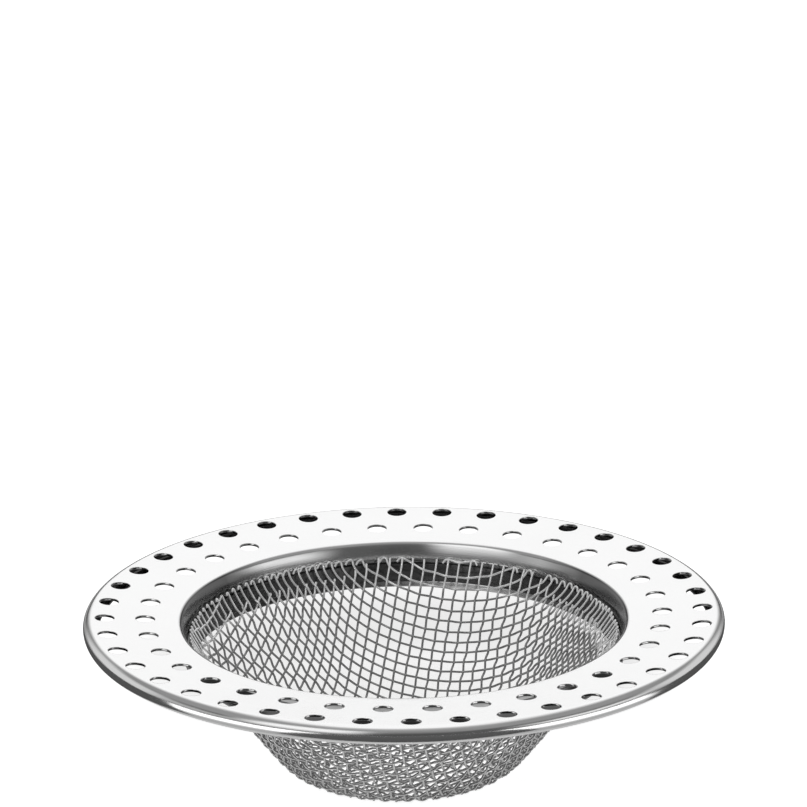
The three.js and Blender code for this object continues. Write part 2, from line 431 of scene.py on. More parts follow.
def ring_of_tiles() -> bpy.types.NodeTree:
    """Builds the tree that repeats a tile of sheet round the Z axis.

    Returns:
        The tree.
    """
    tree, sketch, given = node_tree(
        "ring_of_tiles",
        (
            ("Count", "NodeSocketInt"),
            ("First angle", "NodeSocketFloat"),
            ("Weld", "NodeSocketFloat"),
            ("Finish", "NodeSocketMaterial"),
        ),
    )
    spots = sketch.add("GeometryNodePoints", {"Count": given.outputs["Count"]})
    step = sketch.math("DIVIDE", FULL_TURN, given.outputs["Count"])
    place = sketch.add("GeometryNodeInputIndex").outputs["Index"]
    turn = sketch.math("ADD", given.outputs["First angle"], sketch.math("MULTIPLY", place, step))
    angles = sketch.add("ShaderNodeCombineXYZ", {"Z": turn})
    spin = sketch.add("FunctionNodeEulerToRotation", {"Euler": angles.outputs["Vector"]})
    tiles = sketch.add(
        "GeometryNodeInstanceOnPoints",
        {
            "Points": spots.outputs[0],
            "Instance": given.outputs["Geometry"],
            "Rotation": spin.outputs["Rotation"],
        },
    )
    real = sketch.add("GeometryNodeRealizeInstances", {"Geometry": tiles.outputs["Instances"]})
    welded = sketch.add(
        "GeometryNodeMergeByDistance",
        {"Geometry": real.outputs["Geometry"], "Distance": given.outputs["Weld"]},
    )
    dressed = sketch.add(
        "GeometryNodeSetMaterial",
        {"Geometry": welded.outputs["Geometry"], "Material": given.outputs["Finish"]},
    )
    sketch.add("NodeGroupOutput", {"Geometry": dressed.outputs["Geometry"]})
    return tree


def wires_on_lines() -> bpy.types.NodeTree:
    """Builds the tree that turns centre lines into round wires with cut ends.

    Returns:
        The tree.
    """
    tree, sketch, given = node_tree(
        "wires_on_lines",
        (
            ("Wire radius", "NodeSocketFloat"),
            ("Sides", "NodeSocketInt"),
            ("Finish", "NodeSocketMaterial"),
        ),
    )
    lines = sketch.add("GeometryNodeMeshToCurve", {"Mesh": given.outputs["Geometry"]})
    section = sketch.add(
        "GeometryNodeCurvePrimitiveCircle",
        {"Resolution": given.outputs["Sides"], "Radius": given.outputs["Wire radius"]},
    )
    wires = sketch.add(
        "GeometryNodeCurveToMesh",
        {
            "Curve": lines.outputs["Curve"],
            "Profile Curve": section.outputs["Curve"],
            "Fill Caps": True,
        },
    )
    real = sketch.add("GeometryNodeRealizeInstances", {"Geometry": wires.outputs["Mesh"]})
    smooth = sketch.add("GeometryNodeSetShadeSmooth", {"Geometry": real.outputs["Geometry"]})
    dressed = sketch.add(
        "GeometryNodeSetMaterial",
        {"Geometry": smooth.outputs["Geometry"], "Material": given.outputs["Finish"]},
    )
    sketch.add("NodeGroupOutput", {"Geometry": dressed.outputs["Geometry"]})
    return tree


def arc(
    centre: tuple[float, float], radius: float, start: float, end: float, steps: int
) -> Profile:
    """Points along an arc of a section.

    Args:
        centre: the arc's centre, as radius and height.
        radius: the arc's radius.
        start: the angle that it starts at, from the outward direction.
        end: the angle that it ends at.
        steps: how many steps it has.

    Returns:
        The points, both ends included.
    """
    angles = [start + (end - start) * step / steps for step in range(steps + 1)]
    return [
        (centre[0] + radius * math.cos(angle), centre[1] + radius * math.sin(angle))
        for angle in angles
    ]


def rounded(corners: Profile, radii: Sequence[float], steps: int) -> Profile:
    """Rounds the corners of a line.

    Args:
        corners: the corners, ends included.
        radii: the radius of each corner, 0 where it stays sharp.
        steps: how many steps a rounding has.

    Returns:
        The points of the rounded line.
    """
    line: Profile = []
    count = len(corners)
    for place, (corner, radius) in enumerate(zip(corners, radii)):
        if radius == 0:
            line.append(corner)
            continue
        here = Vector(corner)
        before = (Vector(corners[place - 1]) - here).normalized()
        after = (Vector(corners[(place + 1) % count]) - here).normalized()
        half = before.angle(after) / 2
        reach = radius / math.tan(half)
        centre = here + (before + after).normalized() * (radius / math.sin(half))
        first = here + before * reach - centre
        sweep = first.angle_signed(here + after * reach - centre)
        for step in range(steps + 1):
            spoke = Matrix.Rotation(-sweep * step / steps, 2) @ first
            line.append(tuple(centre + spoke))
    return line


def lathe(
    name: str, line: Profile, segments: int, first_angle: float, closed: bool
) -> bpy.types.Mesh:
    """Turns a section about the Z axis.

    Args:
        name: the mesh's name.
        line: the section, as radius and height.
        segments: how many steps the full turn has.
        first_angle: the angle of its first step.
        closed: whether the section's end joins its start.

    Returns:
        The turned mesh.
    """
    points = []
    for radius, height in line:
        for segment in range(segments):
            angle = first_angle + FULL_TURN * segment / segments
            points.append(Vector((radius * math.cos(angle), radius * math.sin(angle), height)))
    count = len(line)
    faces = []
    for place in range(count if closed else count - 1):
        here = place * segments
        there = (place + 1) % count * segments
        for segment in range(segments):
            after = (segment + 1) % segments
            faces.append((here + segment, here + after, there + after, there + segment))
    return mesh_from(name, points, faces)


def weld(name: str, meshes: Sequence[bpy.types.Mesh], finish: bpy.types.Material) -> bpy.types.Mesh:
    """Joins meshes that share their borders into one closed smooth shell.

    Args:
        name: the shell's name.
        meshes: the meshes, which are removed afterwards.
        finish: the shell's material.

    Returns:
        The shell.
    """
    shell = bmesh.new()
    for mesh in meshes:
        shell.from_mesh(mesh)
        bpy.data.meshes.remove(mesh)
    bmesh.ops.remove_doubles(shell, verts=shell.verts, dist=WELD_DISTANCE)
    bmesh.ops.recalc_face_normals(shell, faces=shell.faces)
    for face in shell.faces:
        face.smooth = True
        face.material_index = 0
    result = bpy.data.meshes.new(name)
    shell.to_mesh(result)
    shell.free()
    result.materials.append(finish)
    return result


def mark_painted_shade(mesh: bpy.types.Mesh, painted_shade_share: Callable[[Vector], float]) -> None:
    """Writes on a mesh how much painted shade each place takes.

    Args:
        mesh: the mesh.
        painted_shade_share: gives that for a place, from 0 where no shade is painted to 1 where it is
            painted fully dark.
    """
    marks = mesh.attributes.new(PAINTED_SHADE_ATTRIBUTE, "FLOAT", "POINT")
    for vertex, value in zip(mesh.vertices, marks.data):
        value.value = painted_shade_share(vertex.co)


@dataclass(frozen=True)
class HoleRing:
    """One ring of drain holes, and the tile of sheet round each hole."""

    count: int
    radius: float
    first_angle: float
    inner_border: float
    outer_border: float
    inner_steps: int
    outer_steps: int
    sector_shift: float = 0.0

    @property
    def sector(self) -> float:
        """The angle that one tile covers."""
        return FULL_TURN / self.count

    @property
    def border_start(self) -> float:
        """The angle at which the first tile starts."""
        return self.first_angle - self.sector / 2 + self.sector_shift


@dataclass
class BrimSheet:
    """The pressed and punched sheet: cone, rolled bead, rolled lip and collar."""

    outer_radius: float
    top: float
    foot: float
    finish: SteelFinish
    thickness: float = 0.5 * MM
    fall: float = 0.95 * MM
    bead_bore: float = 1.15 * MM
    collar_radius: float = 38.0 * MM
    lip_bend: float = 0.5 * MM
    lip_draft: float = math.radians(16)
    lip_sweep: float = math.radians(14)
    lip_depth: float = 4.0 * MM
    draft_bend: float = 1.5 * MM
    hole_radius: float = 1.7 * MM
    hole_rounding: float = 0.09 * MM
    support_width: float = 0.14 * MM
    edge_rounding: float = 0.12 * MM
    outer_hole_inset: float = 3.8 * MM
    inner_hole_setback: float = 5.5 * MM
    ring_border: float = 48.65 * MM
    bead_border: float = 54.2 * MM
    lip_border: float = 40.7 * MM
    outer_holes: int = 40
    inner_holes: int = 34
    ring_border_points: int = 680
    bead_border_steps: int = 9
    lip_border_steps: int = 10
    outer_first_angle: float = HALF_TURN + math.radians(1.16)
    inner_first_angle: float = HALF_TURN + math.radians(0.64)
    bead_end_angle: float = math.radians(-120)
    bead_steps: int = 24
    lip_steps: int = 14
    side_steps: int = 6
    rounding_steps: int = 3
    even_share: float = 0.65
    # Painted shade: its share under the cone, below and in the lip's roll, and on the lip's left and
    # right; the bead's inside takes it fully.
    underside_shade: float = 0.85
    side_shade: float = 0.95
    side_shade_edge: tuple[float, float] = (0.64, 0.82)
    side_shade_reach: float = 0.85

    def __post_init__(self) -> None:
        """Works out the bead, the lip, the cone between them and the hole rings."""
        self.bead_radius = self.bead_bore + self.thickness
        self.bead_centre = (self.outer_radius - self.bead_radius, self.top - self.bead_radius)
        self.lip_radius = self.lip_bend + self.thickness
        self.lip_foot = self.top - self.lip_depth
        lip_height = self.top - self.fall - self.lip_radius
        draft_drop = lip_height + self.lip_radius * math.sin(self.lip_draft) - self.lip_foot
        self.lip_centre = (
            self.collar_radius
            + draft_drop * math.tan(self.lip_draft)
            + self.lip_radius * math.cos(self.lip_draft),
            lip_height,
        )
        across = self.bead_centre[0] - self.lip_centre[0]
        up = self.bead_centre[1] - self.lip_centre[1]
        drop = math.asin((self.lip_radius - self.bead_radius) / math.hypot(across, up))
        self.slope = math.atan2(up, across) - drop
        self.outer_ring = HoleRing(
            count=self.outer_holes,
            radius=self.outer_radius - self.outer_hole_inset,
            first_angle=self.outer_first_angle,
            inner_border=self.ring_border,
            outer_border=self.bead_border,
            inner_steps=self.ring_border_points // self.outer_holes,
            outer_steps=self.bead_border_steps,
        )
        self.inner_ring = self._shifted_inner_ring()

    def _shifted_inner_ring(self) -> HoleRing:
        """Sets the inner ring's tiles to share border points with the outer ring's.

        Returns:
            The inner ring.
        """
        grid = FULL_TURN / self.ring_border_points
        plain_start = self.inner_first_angle - HALF_TURN / self.inner_holes
        offset = self.outer_ring.border_start - plain_start
        shift = offset - grid * round(offset / grid)
        return HoleRing(
            count=self.inner_holes,
            radius=self.lip_centre[0] + self.inner_hole_setback,
            first_angle=self.inner_first_angle,
            inner_border=self.lip_border,
            outer_border=self.ring_border,
            inner_steps=self.lip_border_steps,
            outer_steps=self.ring_border_points // self.inner_holes,
            sector_shift=shift,
        )

    def height(self, radius: float) -> float:
        """Height of the cone's upper face.

        Args:
            radius: distance from the axis.

        Returns:
            The height there.
        """
        touch = self.bead_centre[0] - self.bead_radius * math.sin(self.slope)
        level = self.bead_centre[1] + self.bead_radius * math.cos(self.slope)
        return level + (radius - touch) * math.tan(self.slope)

    def _border(self, ring: HoleRing) -> list[Vector]:
        """Walks round the border of a ring's tile, the hole at angle 0.

        Args:
            ring: the ring of holes.

        Returns:
            The border points in plan.
        """
        low = ring.sector_shift - ring.sector / 2
        high = ring.sector_shift + ring.sector / 2
        polar = []
        for step in range(ring.outer_steps):
            polar.append((ring.outer_border, low + ring.sector * step / ring.outer_steps))
        for step in range(self.side_steps):
            share = step / self.side_steps
            polar.append((ring.outer_border + (ring.inner_border - ring.outer_border) * share, high))
        for step in range(ring.inner_steps):
            polar.append((ring.inner_border, high - ring.sector * step / ring.inner_steps))
        for step in range(self.side_steps):
            share = step / self.side_steps
            polar.append((ring.inner_border + (ring.outer_border - ring.inner_border) * share, low))
        return [Vector((radius * math.cos(turn), radius * math.sin(turn))) for radius, turn in polar]

    def _spokes(self, ring: HoleRing, border: Sequence[Vector]) -> list[Vector]:
        """Finds the direction from the hole's middle that belongs to each border point.

        Args:
            ring: the ring of holes.
            border: the border points in plan.

        Returns:
            A unit vector for each border point.
        """
        middle = Vector((ring.radius, 0))
        count = len(border)
        angles = []
        for point in border:
            away = point - middle
            angle = math.atan2(away.y, away.x)
            while angles and angle < angles[-1]:
                angle += FULL_TURN
            angles.append(angle)
        evens = [FULL_TURN * place / count for place in range(count)]
        lag = sum(angle - even for angle, even in zip(angles, evens)) / count
        turns = [
            angle + (even + lag - angle) * self.even_share for angle, even in zip(angles, evens)
        ]
        return [Vector((math.cos(turn), math.sin(turn))) for turn in turns]

    def _tile(self, ring: HoleRing) -> bpy.types.Mesh:
        """Makes one tile of sheet with its punched hole, both faces and the hole's wall.

        Args:
            ring: the ring that the tile belongs to.

        Returns:
            The tile, with its hole at angle 0.
        """
        border = self._border(ring)
        spokes = self._spokes(ring, border)
        middle = Vector((ring.radius, 0))
        flat_edge = self.hole_radius + self.hole_rounding
        support = flat_edge + self.support_width
        drop = self.thickness / math.cos(self.slope)
        upper = [
            list(border),
            [(point + middle + spoke * support) / 2 for point, spoke in zip(border, spokes)],
            [middle + spoke * support for spoke in spokes],
        ]
        loops = [[(point, 0.0) for point in loop] for loop in upper]
        for step in range(self.rounding_steps + 1):
            turn = QUARTER_TURN * step / self.rounding_steps
            radius = flat_edge - self.hole_rounding * math.sin(turn)
            depth = self.hole_rounding * (1 - math.cos(turn))
            loops.append([(middle + spoke * radius, depth) for spoke in spokes])
        lower = [[(point, drop - depth) for point, depth in loop] for loop in reversed(loops)]
        points = []
        for loop in loops + lower:
            for point, depth in loop:
                points.append(Vector((point.x, point.y, self.height(point.length) - depth)))
        count = len(border)
        faces = []
        for row in range(len(loops + lower) - 1):
            for place in range(count):
                after = (place + 1) % count
                here = row * count
                faces.append((here + place, here + after, here + count + after, here + count + place))
        return mesh_from("tile", points, faces)

    def _bead_line(self) -> Profile:
        """Section of the rolled bead, from the cone's upper face round to its lower face.

        Returns:
            The section's points.
        """
        drop = self.thickness / math.cos(self.slope)
        level = self.height(self.bead_border)
        start = QUARTER_TURN + self.slope
        outside = arc(
            self.bead_centre, self.bead_radius, start, self.bead_end_angle, self.bead_steps
        )
        inside = arc(self.bead_centre, self.bead_bore, self.bead_end_angle, start, self.bead_steps)
        middle = (self.bead_radius + self.bead_bore) / 2
        nose = arc(
            (
                self.bead_centre[0] + middle * math.cos(self.bead_end_angle),
                self.bead_centre[1] + middle * math.sin(self.bead_end_angle),
            ),
            self.thickness / 2,
            self.bead_end_angle,
            self.bead_end_angle - HALF_TURN,
            2 * self.rounding_steps,
        )
        line = [(self.bead_border, level)] + outside + nose[1:-1] + inside
        return line + [(self.bead_border, level - drop)]

    def _lip_line(self) -> Profile:
        """Section of the rolled lip and collar, from the cone's upper face to its lower face.

        Returns:
            The section's points.
        """
        drop = self.thickness / math.cos(self.slope)
        level = self.height(self.lip_border)
        start = QUARTER_TURN + self.slope
        end = HALF_TURN - self.lip_draft
        inside = arc(
            self.lip_centre, self.lip_radius, start, end - self.lip_sweep / 2, self.lip_steps
        )
        outside = arc(self.lip_centre, self.lip_bend, end, start, self.lip_steps)
        inside += self._lip_wall(Vector(inside[-1]))
        outer = self.collar_radius + self.thickness
        outer_bend = self.lip_foot - self.thickness * math.tan(self.lip_draft / 2)
        edge = self.edge_rounding
        foot = rounded(
            [
                inside[-1],
                (self.collar_radius, self.lip_foot),
                (self.collar_radius, self.foot),
                (outer, self.foot),
                (outer, outer_bend),
                outside[0],
            ],
            [0, self.draft_bend + self.thickness, edge, edge, self.draft_bend, 0],
            self.rounding_steps,
        )
        line = [(self.lip_border, level)] + inside + foot[1:-1] + outside
        return line + [(self.lip_border, level - drop)]

    def _lip_wall(self, top: Vector) -> Profile:
        """Section of the lip's slightly swept wall, between the roll and the collar.

        Args:
            top: where the roll ends.

        Returns:
            The points after the roll's end, down to where the collar's bend begins.
        """
        foot = Vector((self.collar_radius, self.lip_foot))
        chord = foot - top
        bulge = chord.length / 2 * math.tan(self.lip_sweep / 4)
        inward = Vector((chord.y, -chord.x)).normalized()
        line = []
        for step in range(1, self.lip_steps - 1):
            share = step / self.lip_steps
            arch = 4 * share * (1 - share)
            line.append(tuple(top + chord * share + inward * (bulge * arch)))
        return line

    def build(self) -> bpy.types.Object:
        """Makes the whole sheet as one closed shell.

        Returns:
            The brim's object.
        """
        finish = self.finish.material()
        tree = ring_of_tiles()
        meshes = []
        for ring in (self.outer_ring, self.inner_ring):
            tile = new_object("tile", self._tile(ring))
            values = {
                "Count": ring.count,
                "First angle": ring.first_angle,
                "Weld": WELD_DISTANCE,
                "Finish": finish,
            }
            meshes.append(bake_nodes(tile, tree, values))
        outer, inner = self.outer_ring, self.inner_ring
        meshes.append(
            lathe("bead", self._bead_line(), outer.count * outer.outer_steps, outer.border_start, False)
        )
        meshes.append(
            lathe("lip", self._lip_line(), inner.count * inner.inner_steps, inner.border_start, False)
        )
        mesh = weld("brim_sheet", meshes, finish)
        mark_painted_shade(mesh, self._shade_share_at)
        return new_object("brim_sheet", mesh)

    def _shade_share_at(self, point: Vector) -> float:
        """How much painted shade a place takes: inside the bead, underneath and on the lip's left and
        right.

        Args:
            point: the place.

        Returns:
            0 where no shade is painted, up to 1 where the sheet is painted fully dark.
        """
        radius = math.hypot(point.x, point.y)
        skin = self.thickness / 2
        from_bead = math.hypot(radius - self.bead_centre[0], point.z - self.bead_centre[1])
        if from_bead < self.bead_bore + skin:
            return 1.0
        if radius > self.bead_border:
            return 0.0
        under_cone = point.z < self.height(radius) - skin and radius > self.lip_centre[0]
        from_roll = math.hypot(radius - self.lip_centre[0], point.z - self.lip_centre[1])
        below_lip = point.z < self.lip_foot
        in_roll = from_roll < self.lip_bend + skin
        if under_cone or below_lip or in_roll:
            return self.underside_shade
        if point.z > self.lip_centre[1] + self.lip_radius * self.side_shade_reach:
            return 0.0
        start, end = self.side_shade_edge
        share = (abs(point.x) / radius - start) / (end - start)
        return self.side_shade * min(1.0, max(0.0, share))


@dataclass
class StripHoop:
    """The thin strip ring inside the collar, with its foot turned in."""

    outer_radius: float
    top: float
    foot: float
    finish: SteelFinish
    thickness: float = 0.5 * MM
    foot_length: float = 1.1 * MM
    foot_turn: float = math.radians(45)
    edge_rounding: float = 0.1 * MM
    bend_radius: float = 0.5 * MM
    segments: int = 360
    rounding_steps: int = 5
    # Painted highlight: the bearing and sharpness of the foot's bright stretch.
    highlight_bearing: float = math.radians(70)
    highlight_power: int = 16

    def build(self) -> bpy.types.Object:
        """Makes the hoop as one closed ring.

        Returns:
            The hoop's object.
        """
        inner = self.outer_radius - self.thickness
        bend = self.foot + self.foot_length * math.cos(self.foot_turn)
        shift = self.thickness * math.tan(self.foot_turn / 2)
        reach = Vector((-math.sin(self.foot_turn), -math.cos(self.foot_turn))) * self.foot_length
        upper = Vector((inner, bend + shift))
        lower = Vector((self.outer_radius, bend))
        lower_end = lower + reach
        across = Vector((-math.cos(self.foot_turn), math.sin(self.foot_turn))) * self.thickness
        upper_end = lower_end + across
        edge = self.edge_rounding
        line = rounded(
            [
                (self.outer_radius, self.top),
                (inner, self.top),
                tuple(upper),
                tuple(upper_end),
                tuple(lower_end),
                tuple(lower),
            ],
            [edge, edge, self.bend_radius, edge, edge, self.bend_radius + self.thickness],
            self.rounding_steps,
        )
        ring = lathe("hoop", line, self.segments, 0.0, True)
        mesh = weld("hoop_strip", [ring], self.finish.material())
        # Painted shade: the hoop is painted dark above its foot, and on the foot except for one bright
        # stretch, a painted highlight.
        mark_painted_shade(mesh, lambda point: 1.0 if point.z > upper.y else self._foot_shade_share(point))
        return new_object("hoop_strip", mesh)

    def _foot_shade_share(self, point: Vector) -> float:
        """How much painted shade the turned-in foot takes, with one stretch left bright as a painted
        highlight.

        Args:
            point: a point of the foot.

        Returns:
            1 where it is painted dark, down to 0 in the middle of the painted highlight.
        """
        toward = Vector((math.cos(self.highlight_bearing), math.sin(self.highlight_bearing)))
        near = max(0.0, toward.dot(point.xy.normalized()))
        return 1.0 - near**self.highlight_power


@dataclass
class BowlSection:
    """Half section of the bowl's middle surface: flat floor, round corner and bulged wall."""

    edge_radius: float
    edge_height: float
    floor_height: float
    floor_radius: float = 15.15 * MM
    corner_radius: float = 8.6 * MM
    bulge_radius: float = 190.0 * MM

    def __post_init__(self) -> None:
        """Finds the bulge's centre, the wall's slopes and the length along the section."""
        edge = Vector((self.edge_radius, self.edge_height))
        self.corner = Vector((self.floor_radius, self.floor_height + self.corner_radius))
        span = self.corner - edge
        from_corner = self.bulge_radius - self.corner_radius
        along = (self.bulge_radius**2 - from_corner**2 + span.length_squared) / (2 * span.length)
        off = math.sqrt(self.bulge_radius**2 - along**2)
        way = span.normalized()
        self.bulge = edge + way * along + Vector((way.y, -way.x)) * off
        toward = self.corner - self.bulge
        self.foot_slope = math.atan2(toward.x, -toward.y)
        toward = edge - self.bulge
        self.edge_slope = math.atan2(toward.x, -toward.y)
        self.wall_run = self.floor_radius + self.corner_radius * self.foot_slope
        self.edge_run = self.wall_run + self.bulge_radius * (self.edge_slope - self.foot_slope)

    def at(self, run: float) -> tuple[float, float, float]:
        """Finds a point of the section.

        Args:
            run: the length along the section from the axis.

        Returns:
            The point's radius, its height and the section's slope there.
        """
        if run <= self.floor_radius:
            return run, self.floor_height, 0.0
        if run <= self.wall_run:
            slope = (run - self.floor_radius) / self.corner_radius
            centre, radius = self.corner, self.corner_radius
        else:
            slope = self.foot_slope + (run - self.wall_run) / self.bulge_radius
            centre, radius = self.bulge, self.bulge_radius
        return centre.x + radius * math.sin(slope), centre.y - radius * math.cos(slope), slope


@dataclass(frozen=True)
class Crossing:
    """A place on the bowl's middle surface, with the directions there."""

    run: float
    angle: float
    point: Vector
    along: Vector
    around: Vector
    outward: Vector


@dataclass
class WireCloth:
    """The woven cloth: wires that drape over the bowl and are combed aside at its edge."""

    section: BowlSection
    finish: SteelFinish
    warp_spacing: float = 1.8 * MM
    weft_spacing: float = 2.07 * MM
    outermost_warp: int = 26
    wire_radius: float = 0.2 * MM
    crimp: float = 0.31 * MM
    turn: float = math.radians(74)
    solve_steps: int = 30
    samples: int = 4
    sides: int = 8
    wander: float = 0.09 * MM
    edge_wander: float = 0.2 * MM
    wander_scale: float = 210.0
    kink: float = 0.12 * MM
    edge_kink: float = 0.3 * MM
    growth_start: float = 31.0 * MM
    growth: float = 11.5
    drawn_zone: float = 4.0 * MM
    drawn_onset: float = 1.0 * MM
    edge_lay: float = 0.15 * MM
    comb_height: float = 3.4 * MM
    comb_swing: float = 0.85
    comb_lift: float = 0.1 * MM
    comb_steps: int = 3
    steepest_lean: float = 1.3
    cut_spread: float = 0.15 * MM
    weft_cut: tuple[float, float] = (math.radians(36), math.radians(24))
    weft_stub: float = 0.12
    hook_reach: float = 1.25 * MM
    hook_drop: float = 0.7 * MM
    hook_middle: float = 0.55
    hook_lean: float = 0.35
    least_hook: float = 0.5
    side_hang: float = -0.65 * MM
    seed: int = 7

    def __post_init__(self) -> None:
        """Sets how far the cloth is drawn at its edge and solves a quarter of the net."""
        self.comb_start = self.section.edge_run - self.comb_height
        self.drawn_start = self.section.edge_run - self.drawn_zone
        half_onset = self.drawn_onset / 2
        woven = self._grown(self.outermost_warp * self.warp_spacing) - self.drawn_start - half_onset
        self.stretch = (self.drawn_zone - self.edge_lay - half_onset) / woven
        self.chance = random.Random(self.seed)
        noise.seed_set(self.seed)
        self.net = self._quarter_net()

    def place(self, run: float, angle: float) -> Crossing:
        """Finds a place on the bowl.

        Args:
            run: the length along the section from the axis.
            angle: the angle about the axis.

        Returns:
            The place, with its directions.
        """
        radius, height, slope = self.section.at(run)
        out = Vector((math.cos(angle), math.sin(angle), 0))
        side = Vector((-math.sin(angle), math.cos(angle), 0))
        rise = Vector((0, 0, 1))
        return Crossing(
            run,
            angle,
            out * radius + rise * height,
            out * math.cos(slope) + rise * math.sin(slope),
            side * radius,
            out * math.sin(slope) - rise * math.cos(slope),
        )

    def drawn(self, spot: Crossing) -> Crossing:
        """Moves a crossing up the wall where the cloth was drawn longer towards its edge.

        Args:
            spot: the crossing of the even weave.

        Returns:
            The crossing as it lies in the bowl.
        """
        run = self._grown(spot.run)
        past = run - self.drawn_start
        if past > 0:
            gain = self.stretch - 1
            if past < self.drawn_onset:
                run += gain * past**2 / (2 * self.drawn_onset)
            else:
                run += gain * (past - self.drawn_onset / 2)
        return self.place(run, spot.angle)

    def _grown(self, run: float) -> float:
        """Lengthens a run where the wall's cells grow longer towards the top.

        Args:
            run: the run in the even weave.

        Returns:
            The run with that growth.
        """
        return run + self.growth / 2 * max(0.0, run - self.growth_start) ** 2

    def _next_crossing(self, warp_side: Crossing, weft_side: Crossing, shared: Crossing) -> Crossing:
        """Finds the crossing that is one spacing on from two neighbours.

        Args:
            warp_side: the neighbour on the warp wire before.
            weft_side: the neighbour on the weft wire before.
            shared: the neighbour that both of them have.

        Returns:
            The crossing.
        """
        guess = warp_side.point + weft_side.point - shared.point
        found = self.place(
            warp_side.run + weft_side.run - shared.run, math.atan2(guess.y, guess.x)
        )
        for _ in range(self.solve_steps):
            from_warp = found.point - warp_side.point
            from_weft = found.point - weft_side.point
            warp_miss = (self.warp_spacing**2 - from_warp.length_squared) / 2
            weft_miss = (self.weft_spacing**2 - from_weft.length_squared) / 2
            warp_along, warp_around = from_warp.dot(found.along), from_warp.dot(found.around)
            weft_along, weft_around = from_weft.dot(found.along), from_weft.dot(found.around)
            scale = warp_along * weft_around - warp_around * weft_along
            run_step = (warp_miss * weft_around - weft_miss * warp_around) / scale
            angle_step = (weft_miss * warp_along - warp_miss * weft_along) / scale
            found = self.place(found.run + run_step, found.angle + angle_step)
        return found

    def _quarter_net(self) -> dict[tuple[int, int], Crossing]:
        """Solves the crossings of one quarter, up to the first beyond the edge on each wire.

        Returns:
            The crossings as they lie in the bowl, by their warp and weft wire.
        """
        edge = self.section.edge_run
        warps = range(1, math.ceil(edge / self.warp_spacing) + 1)
        wefts = range(1, math.ceil(edge / self.weft_spacing) + 1)
        net = {(0, 0): self.place(0.0, 0.0)}
        for warp in warps:
            net[warp, 0] = self.place(warp * self.warp_spacing, 0.0)
        for weft in wefts:
            net[0, weft] = self.place(weft * self.weft_spacing, QUARTER_TURN)
        for warp in warps:
            for weft in wefts:
                beside = net.get((warp - 1, weft))
                below = net.get((warp, weft - 1))
                if beside is None or below is None:
                    break
                if min(self.drawn(beside).run, self.drawn(below).run) > edge:
                    break
                net[warp, weft] = self._next_crossing(beside, below, net[warp - 1, weft - 1])
        return {key: self.drawn(spot) for key, spot in net.items()}

    def _stray(self, spot: Crossing) -> Vector:
        """Uneven drift of the weave within its surface, stronger towards the cut edge.

        Args:
            spot: the crossing, in the whole bowl's frame.

        Returns:
            How far the crossing is moved.
        """
        drift = noise.noise_vector(spot.point * self.wander_scale)
        size = self._near_edge(spot, self.wander, self.edge_wander)
        return (drift - spot.outward * drift.dot(spot.outward)) * size

    def _near_edge(self, spot: Crossing, woven: float, drawn: float) -> float:
        """Blends a size of the even weave into the one at the drawn edge.

        Args:
            spot: the crossing.
            woven: the size in the even weave.
            drawn: the size at the edge.

        Returns:
            The size at the crossing.
        """
        from_edge = (self.section.edge_run - spot.run) / self.drawn_zone
        share = min(1.0, max(0.0, 1.0 - from_edge))
        return woven + (drawn - woven) * share * share

    def _kinked(self, spot: Crossing, count: int) -> Crossing:
        """Moves every second crossing up the wall and the others down, as the weave locks.

        Args:
            spot: the crossing.
            count: its warp and weft wires' numbers, added up.

        Returns:
            The crossing as it lies.
        """
        size = self._near_edge(spot, self.kink, self.edge_kink)
        return self.place(spot.run + (size if count % 2 else -size), spot.angle)

    def _hang(self, spot: Crossing) -> Vector:
        """How far the bowl hangs to one side, which grows from its edge down to its floor.

        Args:
            spot: the crossing, in the whole bowl's frame.

        Returns:
            How far the crossing is moved.
        """
        share = 1 - min(1.0, spot.point.z / self.section.edge_height) ** 2
        return Vector((self.side_hang * share, 0, 0))

    def _arm(self, place: int, way: Way) -> list[Crossing]:
        """Follows one half of a wire from its middle to its first crossing beyond the edge.

        Args:
            place: which wire, counted from the one through the middle.
            way: whether it is a warp or a weft wire.

        Returns:
            The crossings in the solved quarter, the middle one first.
        """
        arm: list[Crossing] = []
        while not arm or arm[-1].run <= self.section.edge_run:
            key = (abs(place), len(arm)) if way is Way.WARP else (len(arm), abs(place))
            if key not in self.net:
                break
            arm.append(self.net[key])
        return arm

    def _lift(self, place: int, step: int, way: Way) -> float:
        """How far a wire stands out of the bowl's middle surface at a crossing.

        Args:
            place: which wire, counted from the one through the middle.
            step: which crossing along it.
            way: whether it is a warp or a weft wire.

        Returns:
            The distance, towards the outside where it is positive.
        """
        side = 1 if (place + step) % 2 else -1
        return self.crimp * (side if way is Way.WARP else -side)

